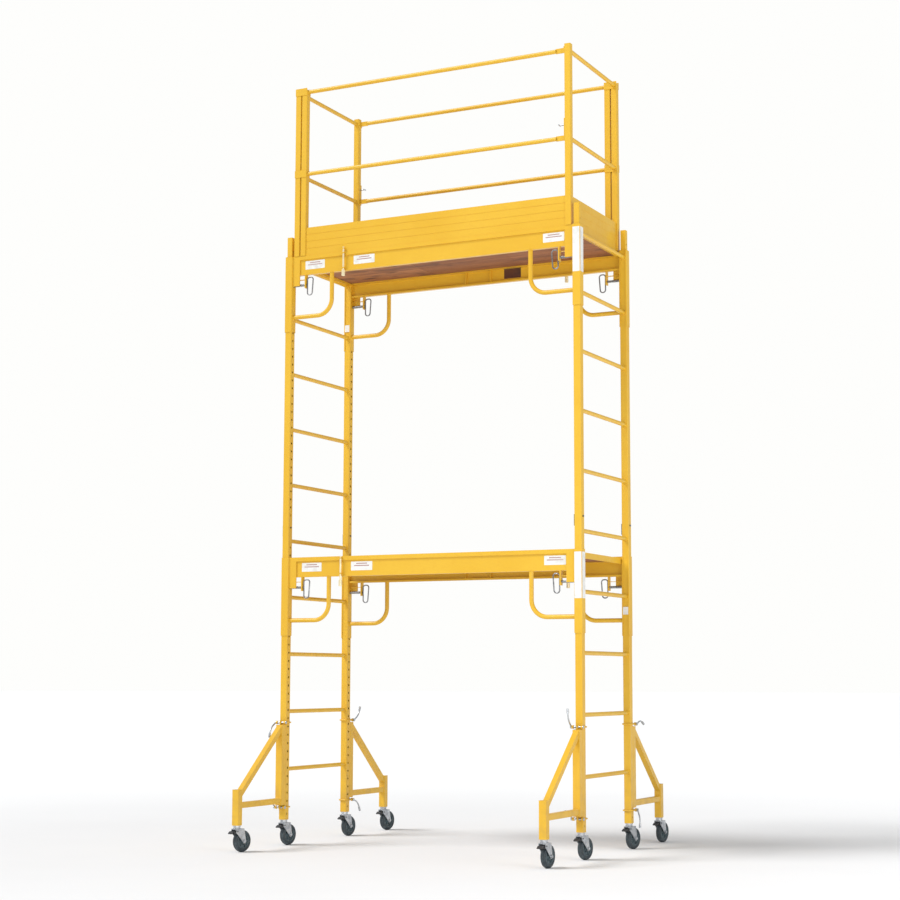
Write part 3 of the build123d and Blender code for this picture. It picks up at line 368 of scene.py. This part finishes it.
pin_look = steel("pin_steel_look", (0.36, 0.37, 0.385), (0.17, 0.175, 0.185), 0.28, 0.48)
# Toe bolts: metal whose pale gold colour is painted reflection, copying the bright glare they show from the
# front.
bolt_sheen_look = steel("painted_sheen_bolt_look", (0.93, 0.82, 0.54), (0.80, 0.68, 0.42), 0.32, 0.50, 0.5)
looks = {
    "yellow_paint": yellow_paint(),
    "plywood": plywood(),
    "zinc_plate": steel("zinc_plate_look", (0.60, 0.62, 0.64), (0.40, 0.42, 0.45), 0.24, 0.42),
    "dark_steel": steel("dark_steel_look", (0.17, 0.17, 0.175), (0.085, 0.085, 0.09), 0.3, 0.5),
    "rubber": rubber(),
    "black_steel": black_steel(),
}
core_look = hub_plastic()
white_label = label("white_label_look", (0.80, 0.80, 0.775), (0.62, 0.62, 0.58))
label_print = label("label_print_look", (0.42, 0.24, 0.22), (0.55, 0.42, 0.40))
# dark brown, for the patch on the back rail's inner face
dark_patch_look = label("dark_brown_patch_look", (0.105, 0.040, 0.022), (0.060, 0.026, 0.016))

for entry in record["subparts"]:
    cad = frame["nodes"][entry["node"]]
    look = looks[entry["material_slot"]]
    if entry["node"].startswith("bracket_pin"):
        look = pin_look
    # the toe bolts get the pale metal with painted reflection
    elif entry["node"].startswith("toe_bolt"):
        look = bolt_sheen_look
    if not cad.material_slots:
        cad.data.materials.append(look)
    for cad_slot in cad.material_slots:
        cad_slot.material = look


# ---------------------------------------------------------------- mesh tools
def finish_piece(name, bm, look, body, bevel=0.0, smooth=True, replaced=()):
    """Turns a bmesh, built in the part's own frame, into a piece that rides on a body."""
    bmesh.ops.recalc_face_normals(bm, faces=bm.faces)
    mesh = bpy.data.meshes.new(name)
    bm.to_mesh(mesh)
    bm.free()
    for face in mesh.polygons:
        face.use_smooth = smooth
    piece = bpy.data.objects.new(name, mesh)
    bpy.context.scene.collection.objects.link(piece)
    mesh.materials.append(look)
    if bevel:
        rounding = piece.modifiers.new("rounding", "BEVEL")
        rounding.width = bevel
        rounding.segments = 2
        rounding.limit_method = "ANGLE"
        rounding.angle_limit = math.radians(35)
        rounding.harden_normals = True
    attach(piece, body)
    if replaced:
        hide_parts(*replaced)
    return piece


def basis(direction):
    """Two unit vectors square to a direction."""
    direction = Vector(direction).normalized()
    helper = Vector((0, 0, 1)) if abs(direction.z) < 0.9 else Vector((1, 0, 0))
    across = direction.cross(helper).normalized()
    return across, direction.cross(across).normalized()


def circle(bm, centre, across, up, radius, steps, turn=0.0):
    """A ring of vertices in the plane of two unit vectors."""
    angles = (turn + 2 * math.pi * i / steps for i in range(steps))
    return [bm.verts.new(centre + (across * math.cos(a) + up * math.sin(a)) * radius) for a in angles]


def skin(bm, rings, closed=False):
    """Faces between rings of vertices; closed joins the last ring to the first."""
    count = len(rings[0])
    pairs = list(zip(rings, rings[1:])) + ([(rings[-1], rings[0])] if closed else [])
    for a, b in pairs:
        for i in range(count):
            j = (i + 1) % count
            bm.faces.new((a[i], a[j], b[j], b[i]))


def solid(bm, rings):
    """A closed body through rings of vertices, with a flat face at each end."""
    skin(bm, rings)
    bm.faces.new(rings[0])
    bm.faces.new(rings[-1])


def tube_along(bm, points, radii, sides, closed=False):
    """A round rod along points, with a radius for each point."""
    rings = []
    total = len(points)
    for k, point in enumerate(points):
        before = points[k - 1] if closed or k else points[0]
        after = points[(k + 1) % total] if closed or k < total - 1 else points[-1]
        ahead = (after - before).normalized()
        if rings:
            across = (across - ahead * across.dot(ahead)).normalized()
            up = ahead.cross(across)
        else:
            across, up = basis(ahead)
        rings.append(circle(bm, point, across, up, radii[k], sides))
    if closed:
        skin(bm, rings, closed=True)
    else:
        solid(bm, rings)


def ripples(bead, count, least, swing, pitch):
    """A weld bead's radius at each of count steps along it."""
    phase = random.random() * 6
    return [bead * (least + swing * abs(math.sin(phase + k * pitch)) + 0.06 * random.random())
            for k in range(count)]


def weld_ring(bm, centre, axis, radius, bead=BEAD):
    """A rippled weld bead round a tube's end."""
    across, up = basis(axis)
    steps = 40
    angles = (2 * math.pi * k / steps for k in range(steps))
    points = [Vector(centre) + (across * math.cos(a) + up * math.sin(a)) * (radius + 0.5 * MM)
              for a in angles]
    tube_along(bm, points, ripples(bead, steps, 0.86, 0.16, 1.31), BEAD_SIDES, closed=True)


def weld_line(bm, start, end, bead=BEAD):
    """A rippled weld bead between two points, thin at both ends."""
    start, end = Vector(start), Vector(end)
    steps = max(6, int((end - start).length / (2.2 * MM)))
    radii = ripples(bead, steps + 1, 0.84, 0.18, 1.3)
    radii[0] = radii[-1] = bead * 0.3
    tube_along(bm, [start.lerp(end, k / steps) for k in range(steps + 1)], radii, BEAD_SIDES)


def weld_square(bm, centre, u, v, half_u, half_v):
    """Four weld beads round a square tube's end."""
    centre, u, v = Vector(centre), Vector(u), Vector(v)
    corners = [centre + u * a * half_u + v * b * half_v for a, b in ((-1, -1), (1, -1), (1, 1), (-1, 1))]
    for a, b in zip(corners, corners[1:] + corners[:1]):
        weld_line(bm, a, b)


def plate(bm, centre, u, v, half_u, half_v, thickness, corner):
    """A thin plate with rounded corners, standing out from centre along u x v."""
    centre, u, v = Vector(centre), Vector(u).normalized(), Vector(v).normalized()
    out = u.cross(v)
    outline = []
    for sign_u, sign_v, turn in ((1, 1, 0), (-1, 1, 90), (-1, -1, 180), (1, -1, 270)):
        for step in range(5):
            a = math.radians(turn + 22.5 * step)
            outline.append(centre + u * (sign_u * (half_u - corner) + corner * math.cos(a))
                           + v * (sign_v * (half_v - corner) + corner * math.sin(a)))
    solid(bm, [[bm.verts.new(p + out * rise) for p in outline] for rise in (0, thickness)])


def lathe(bm, profile, centre, axis, steps):
    """Turns a closed (radius, offset along the axis) outline round an axis."""
    centre, axis = Vector(centre), Vector(axis).normalized()
    across, up = basis(axis)
    skin(bm, [circle(bm, centre + axis * offset, across, up, radius, steps) for radius, offset in profile],
         closed=True)


def washer(bm, centre, axis, outer, inner, thickness, steps):
    """A flat ring that stands on centre along axis."""
    lathe(bm, [(outer, 0.0), (outer, thickness), (inner, thickness), (inner, 0.0)], centre, axis, steps)


def hexagon(bm, centre, axis, across_flats, height, turn):
    """A chamfered nut or bolt head that stands on centre along axis."""
    centre, axis = Vector(centre), Vector(axis).normalized()
    across, up = basis(axis)
    outer = across_flats / math.sqrt(3)
    levels = ((0, outer), (height * 0.8, outer), (height, outer * 0.86))
    solid(bm, [circle(bm, centre + axis * rise, across, up, radius, 6, turn) for rise, radius in levels])


def dome(bm, centre, axis, radius, height):
    """A low domed head that stands on centre along axis."""
    centre, axis = Vector(centre), Vector(axis).normalized()
    across, up = basis(axis)
    angles = [share * math.pi / 2 for share in (0.0, 0.35, 0.65, 0.85)]
    solid(bm, [circle(bm, centre + axis * height * math.sin(a), across, up, radius * math.cos(a), 16)
               for a in angles])


def mirrored(half):
    """A whole (radius, offset) outline in metres, from its half on one side, in millimetres."""
    return ([(radius * MM, -offset * MM) for radius, offset in half]
            + [(radius * MM, offset * MM) for radius, offset in reversed(half)])


# ---------------------------------------------------------------- welds
for side, sign in (("left", -1), ("right", 1)):
    for level, foot in (("lower", post_base), ("upper", joint_height)):
        bm = bmesh.new()
        for i in range(RUNGS_PER_FRAME):
            z = foot + FIRST_RUNG + i * RUNG_PITCH
            for depth in (-1, 1):
                weld_ring(bm, (sign * half_length, depth * (half_width - half_post), z), (0, 1, 0),
                          RUNG_RADIUS)
        finish_piece(f"weld_beads_{level}_frame_{side}", bm, looks["yellow_paint"], "root")


def bracket_end_welds(bm, sign, depth, top):
    """The beads at one end of a side bracket. sign is that end, depth the bracket's side."""
    y = depth * half_width
    rail_foot = top - RAIL_DEPTH
    weld_ring(bm, (sign * (half_length - BRACE_INSET), y, rail_foot), (0, 0, 1), BRACE_RADIUS)
    weld_ring(bm, (sign * sleeve_face, y, top - BRACE_DROP), (1, 0, 0), BRACE_RADIUS)
    for out in (LIP_OUTER, WEB_OUTER):
        weld_line(bm, (sign * sleeve_face, y + depth * out, top - RAIL_BEAD_INSET),
                  (sign * sleeve_face, y + depth * out, rail_foot + RAIL_BEAD_INSET))
    gusset_x = sign * (sleeve_face - GUSSET_WIDTH)
    gusset_y = y + depth * GUSSET_OUTER
    weld_line(bm, (gusset_x, gusset_y, top - LEDGE_DROP),
              (gusset_x, gusset_y, rail_foot + GUSSET_BEAD_INSET), FINE_BEAD)
    ear_x = sign * (sleeve_face - EAR_INSET) - EAR_HALF
    weld_line(bm, (ear_x, y + depth * EAR_INNER, rail_foot), (ear_x, y + depth * EAR_OUTER, rail_foot),
              THIN_BEAD)
    weld_line(bm, (sign * sleeve_face, y - STRAP_HALF_WIDTH, top - STRAP_DROP),
              (sign * sleeve_face, y + STRAP_HALF_WIDTH, top - STRAP_DROP), THIN_BEAD)


for level, top in platform_tops.items():
    bm = bmesh.new()
    for depth in (-1, 1):
        for sign in (-1, 1):
            bracket_end_welds(bm, sign, depth, top)
    finish_piece(f"weld_beads_side_brackets_{level}", bm, looks["yellow_paint"], "root")

bm = bmesh.new()
for turn in (1, -1):
    hinge_x = turn * (-guard_x + DOUBLE_POST_PITCH + HALF_GUARD_POST)
    flat_x = turn * (guard_x - HALF_GUARD_POST - LATCH_PLATE - FLAT_END_LENGTH)
    for z in (top_rail, mid_rail):
        weld_ring(bm, (hinge_x, -turn * half_width, z), (1, 0, 0), RUNG_RADIUS, THIN_BEAD)
        for y in (-1, 1):
            weld_ring(bm, (-turn * guard_x, turn * y * (half_width - HALF_GUARD_POST), z), (0, 1, 0),
                      RUNG_RADIUS, THIN_BEAD)
        weld_ring(bm, (flat_x, -turn * half_width, z), (1, 0, 0), FLAT_END_RADIUS, FINE_BEAD)
finish_piece("weld_beads_guardrail", bm, looks["yellow_paint"], "root")

bm = bmesh.new()
for sx, sy in CORNERS.values():
    for out, height, half_x, half_z in OUTRIGGER_WELDS:
        weld_square(bm, (sx * half_length, sy * (half_width + out * MM), height * MM), (1, 0, 0), (0, 0, 1),
                    half_x * MM, half_z * MM)
finish_piece("weld_beads_outriggers", bm, looks["yellow_paint"], "root")

# ---------------------------------------------------------------- pin springs
spring_start = sleeve_face - SPRING_FAR  # at the pin ear
spring_length = SPRING_FAR - SPRING_NEAR
for level, top in platform_tops.items():
    for corner, (sx, sy) in CORNERS.items():
        axis_y, axis_z = sy * half_width, top - PIN_DROP
        points = []
        for k in range(SPRING_TURNS * SPRING_STEPS + 1):
            share = k / (SPRING_TURNS * SPRING_STEPS)
            a = 2 * math.pi * SPRING_TURNS * share
            points.append(Vector((sx * (spring_start + spring_length * share),
                                  axis_y + SPRING_RADIUS * math.cos(a),
                                  axis_z + SPRING_RADIUS * math.sin(a))))
        bm = bmesh.new()
        tube_along(bm, points, [SPRING_WIRE] * len(points), 7)
        spring = finish_piece(f"pin_spring_{level}_{corner}", bm, looks["zinc_plate"], "root")
        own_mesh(spring)

# ---------------------------------------------------------------- casters
# Outlines are (radius, offset) in millimetres. The wheels' are halves, from the middle plane outward.
TYRE_HALF = [(43, 13.2), (46, 14.6), (51, 15.6), (56, 15.7), (60, 13.6), (62.4, 9.8), (63.3, 4.6),
             (62.3, 4.2), (62.3, 3.4), (63.5, 3.0)]
CORE_HALF = [(43.3, 13.4), (39.5, 14.6), (37.5, 13.6), (36, 7.0), (20, 6.0), (17.5, 9), (16.5, 15.4),
             (13.5, 16), (6.4, 16)]
DUST_CUP = [(21.6, 0), (22.6, 1.3), (22.4, 3.0), (20.4, 3.4), (20.2, 0)]


def wheel_core(bm, centre, axle):
    """The turned core with ribs on each side of its web."""
    lathe(bm, mirrored(CORE_HALF), centre, axle, 72)
    along, up = basis(axle)
    for i in range(RIBS):
        a = 2 * math.pi * i / RIBS
        spoke = along * math.cos(a) + up * math.sin(a)
        for face in (-1, 1):
            plate(bm, centre + spoke * RIB_MIDDLE + axle * face * HALF_WEB, spoke, axle.cross(spoke) * face,
                  RIB_HALF_LENGTH, RIB_HALF_THICKNESS, RIB_RISE, 1.2 * MM)


def caster_hardware(bm, centre, axle, hub):
    """Washers, nuts and spacers on the axle, and the dust cup round the swivel."""
    for face in (-1, 1):
        out = axle * face
        seat = centre + out * LEG_OUTER
        washer(bm, seat, out, *WASHER, 36)
        hexagon(bm, seat + out * NUT_SEAT, out, NUT_FLATS, NUT_HEIGHT, 0.3 * face)
        dome(bm, seat + out * AXLE_END_SEAT, out, *AXLE_END)
        washer(bm, centre + out * SPACER_PLACE, out, *SPACER, 30)
    cup_foot = DUST_CUP_HEIGHT - hub.z
    lathe(bm, [(radius * MM, cup_foot + offset * MM) for radius, offset in DUST_CUP], hub, (0, 0, 1), 48)


for corner in CORNERS:
    for place in ("post", "outer"):
        wheel, fork = f"caster_wheel_{corner}_{place}", f"caster_fork_{corner}_{place}"
        centre, axle = Vector(joints[wheel]["pos_m"]), Vector(joints[wheel]["axis"]).normalized()
        bm = bmesh.new()
        lathe(bm, mirrored(TYRE_HALF), centre, axle, 80)
        finish_piece(f"tyre_{corner}_{place}", bm, looks["rubber"], wheel, replaced=(wheel,))
        bm = bmesh.new()
        wheel_core(bm, centre, axle)
        finish_piece(f"wheel_core_{corner}_{place}", bm, core_look, wheel, bevel=0.5 * MM)
        bm = bmesh.new()
        caster_hardware(bm, centre, axle, Vector(joints[fork]["pos_m"]))
        finish_piece(f"caster_hardware_{corner}_{place}", bm, looks["zinc_plate"], fork,
                     bevel=0.3 * MM)

# ---------------------------------------------------------------- labels and a dark brown patch
def upright_label(bm, place, along, half, thickness=LABEL, corner=LABEL_CORNER):
    """An upright label at place. along is its long direction, and half its two half sizes."""
    plate(bm, place, along, (0, 0, 1), *half, thickness, corner)


web_face = half_width + WEB_OUTER
sleeve_out = SLEEVE_HALF + LABEL_LIFT
for level, top in platform_tops.items():
    bm = bmesh.new()
    for x, half in RAIL_LABELS:
        upright_label(bm, (x * MM, -(web_face + LABEL_LIFT), top - RAIL_LABEL_DROP), (1, 0, 0),
                      (half * MM, RAIL_LABEL_HALF_HEIGHT), corner=3 * MM)
    finish_piece(f"rail_labels_{level}", bm, white_label, "root", smooth=False)
    bm = bmesh.new()
    for x, _ in RAIL_LABELS:
        for drop, half in LABEL_BARS:
            upright_label(bm, (x * MM, -(web_face + LABEL_LIFT + LABEL), top - drop * MM), (1, 0, 0),
                          (half * MM, BAR_HALF_HEIGHT), BAR, 1 * MM)
    finish_piece(f"rail_label_bars_{level}", bm, label_print, "root", smooth=False)
    bm = bmesh.new()
    upright_label(bm, (half_length, -(half_width + sleeve_out), top - SLEEVE_LABEL_DROP), (1, 0, 0),
                  SLEEVE_LABEL_HALF)
    upright_label(bm, (half_length + sleeve_out, -half_width, top - SLEEVE_LABEL_DROP), (0, 1, 0),
                  SLEEVE_LABEL_HALF)
    small_x = -half_length if level == "upper" else half_length
    upright_label(bm, (small_x, half_width - sleeve_out - LABEL, top - SMALL_LABEL_DROP), (1, 0, 0),
                  SMALL_LABEL_HALF)
    finish_piece(f"sleeve_labels_{level}", bm, white_label, "root", smooth=False)

# A dark brown patch on the back rail's inner face, under the upper deck.
bm = bmesh.new()
upright_label(bm, (DARK_PATCH_X, web_face - PLATE - LABEL_LIFT, platform_tops["upper"] - DARK_PATCH_DROP),
              (1, 0, 0), DARK_PATCH_HALF)
finish_piece("rail_dark_patch_back", bm, dark_patch_look, "root", smooth=False)

# ---------------------------------------------------------------- deck screws and post caps
half_row = (SEAM_X - SEAM_SCREWS, SEAM_X + SEAM_SCREWS, MIDDLE_SCREWS, END_SCREWS)
row = (*(-x for x in reversed(half_row)), 0.0, *half_row)
screw_spots = [(x, y) for x in row for y in (-SIDE_SCREWS, SIDE_SCREWS)]
screw_spots += [(x, y * END_SCREW_PITCH) for y in (-1, 0, 1) for x in (-END_SCREWS, END_SCREWS)]
for level, top in platform_tops.items():
    bm = bmesh.new()
    for x, y in screw_spots:
        dome(bm, (x, y, top - DECK_TOP_DROP - SCREW_SUNK), (0, 0, 1), *SCREW_HEAD)
    finish_piece(f"deck_screws_{level}", bm, looks["zinc_plate"], "root")

cap_half = HALF_GUARD_POST - CAP_INSET
guard_posts = ((-guard_x, -half_width, DOUBLE_POST_RISE), (-guard_x, half_width, SINGLE_POST_RISE),
               (-guard_x + DOUBLE_POST_PITCH, -half_width, DOUBLE_POST_RISE))
bm = bmesh.new()
for turn in (1, -1):
    for x, y, rise in guard_posts:
        plate(bm, (turn * x, turn * y, top_rail + rise - CAP_DEPTH), (1, 0, 0), (0, 1, 0), cap_half, cap_half,
              CAP, 2.5 * MM)
finish_piece("guard_post_caps", bm, looks["yellow_paint"], "root", bevel=0.6 * MM)


# ---------------------------------------------------------------- floor, light and camera
def paper_floor():
    """Matt white paper, a little greyer near the scaffold."""
    n = Nodes("floor_look")
    reach = n.node("ShaderNodeVectorMath", operation="LENGTH")
    n.join(n.coordinates, reach.inputs[0])
    near = n.mix(n.ramp(n.noise(0.8, 3.0), 0.3, 0.7), (0.845, 0.845, 0.85), (0.83, 0.83, 0.835))
    return n.finish(n.mix(n.ramp(reach.outputs["Value"], 2.0, 8.0), near, (0.96, 0.96, 0.96)), 0.9)


FLOOR_RADII = (2.0, 6.0, 15.0, 40.0, 120.0)
bm = bmesh.new()
rings = [circle(bm, Vector((0, 0, 0)), Vector((1, 0, 0)), Vector((0, 1, 0)), radius, 64)
         for radius in FLOOR_RADII]
skin(bm, rings[::-1])
bm.faces.new(rings[0])
floor_mesh = bpy.data.meshes.new("floor")
bm.to_mesh(floor_mesh)
bm.free()
floor = bpy.data.objects.new("floor", floor_mesh)
bpy.context.scene.collection.objects.link(floor)
floor_mesh.materials.append(paper_floor())


def studio_world():
    """A soft, slightly cool surround that the camera itself sees as warm white."""
    world = bpy.data.worlds.new("studio")
    world.use_nodes = True
    tree = world.node_tree
    lighting = tree.nodes["Background"]
    backdrop = tree.nodes.new("ShaderNodeBackground")
    for shader, colour, strength in ((lighting, (0.975, 0.99, 1.0, 1.0), 0.54),
                                     (backdrop, (1.0, 1.0, 0.985, 1.0), 0.99)):
        shader.inputs["Color"].default_value = colour
        shader.inputs["Strength"].default_value = strength
    seen = tree.nodes.new("ShaderNodeLightPath")
    either = tree.nodes.new("ShaderNodeMixShader")
    tree.links.new(seen.outputs["Is Camera Ray"], either.inputs[0])
    tree.links.new(lighting.outputs[0], either.inputs[1])
    tree.links.new(backdrop.outputs[0], either.inputs[2])
    tree.links.new(either.outputs[0], tree.nodes["World Output"].inputs["Surface"])
    return world


def add_light(name, kind, energy):
    """A lamp and the object that holds it."""
    lamp = bpy.data.lights.new(name, kind)
    lamp.energy = energy
    holder = bpy.data.objects.new(name, lamp)
    bpy.context.scene.collection.objects.link(holder)
    return lamp, holder


def softbox(name, place, aim, size, watts):
    """A rectangular light at place that faces aim."""
    lamp, holder = add_light(name, "AREA", watts)
    lamp.shape = "RECTANGLE"
    lamp.size, lamp.size_y = size
    holder.location = place
    holder.rotation_euler = (Vector(aim) - Vector(place)).to_track_quat("-Z", "Y").to_euler()


bpy.context.scene.world = studio_world()
sun, sun_holder = add_light("key_light", "SUN", 2.35)
sun.angle = math.radians(24)
sun_holder.rotation_euler = Vector((-0.52, -0.45, 0.78)).to_track_quat("Z", "Y").to_euler()
softbox("fill_light", (3.5, -7.5, 0.7), (0, 0, 3.2), (5.0, 1.2), 70)
softbox("side_light", (8.0, -3.5, 2.6), (0, 0, 2.6), (4.0, 4.0), 170)

bpy.context.scene.view_settings.view_transform = "Standard"

CAMERA_PLACE = Vector((2.5525, -5.1127, 0.5199))  # in bay lengths
AZIMUTH, TILT, ROLL = -0.46606, 0.11849, 0.00246  # radians; azimuth is from +Y towards +X
camera_data = bpy.data.cameras.new("camera")
camera_data.sensor_width = 36.0
camera_data.lens = 72.99
camera_data.shift_y = 0.011
camera_data.clip_end = 300
camera = bpy.data.objects.new("camera", camera_data)
bpy.context.scene.collection.objects.link(camera)
bpy.context.scene.camera = camera
level_ahead = Vector((math.sin(AZIMUTH), math.cos(AZIMUTH), 0))
level_right = Vector((math.cos(AZIMUTH), -math.sin(AZIMUTH), 0))
ahead = level_ahead * math.cos(TILT) + Vector((0, 0, math.sin(TILT)))
above = Vector((0, 0, math.cos(TILT))) - level_ahead * math.sin(TILT)
right = level_right * math.cos(ROLL) + above * math.sin(ROLL)
above = above * math.cos(ROLL) - level_right * math.sin(ROLL)
facing = Matrix((right, above, -ahead)).transposed().to_4x4()
camera.matrix_world = Matrix.Translation(CAMERA_PLACE * 2 * half_length) @ facing
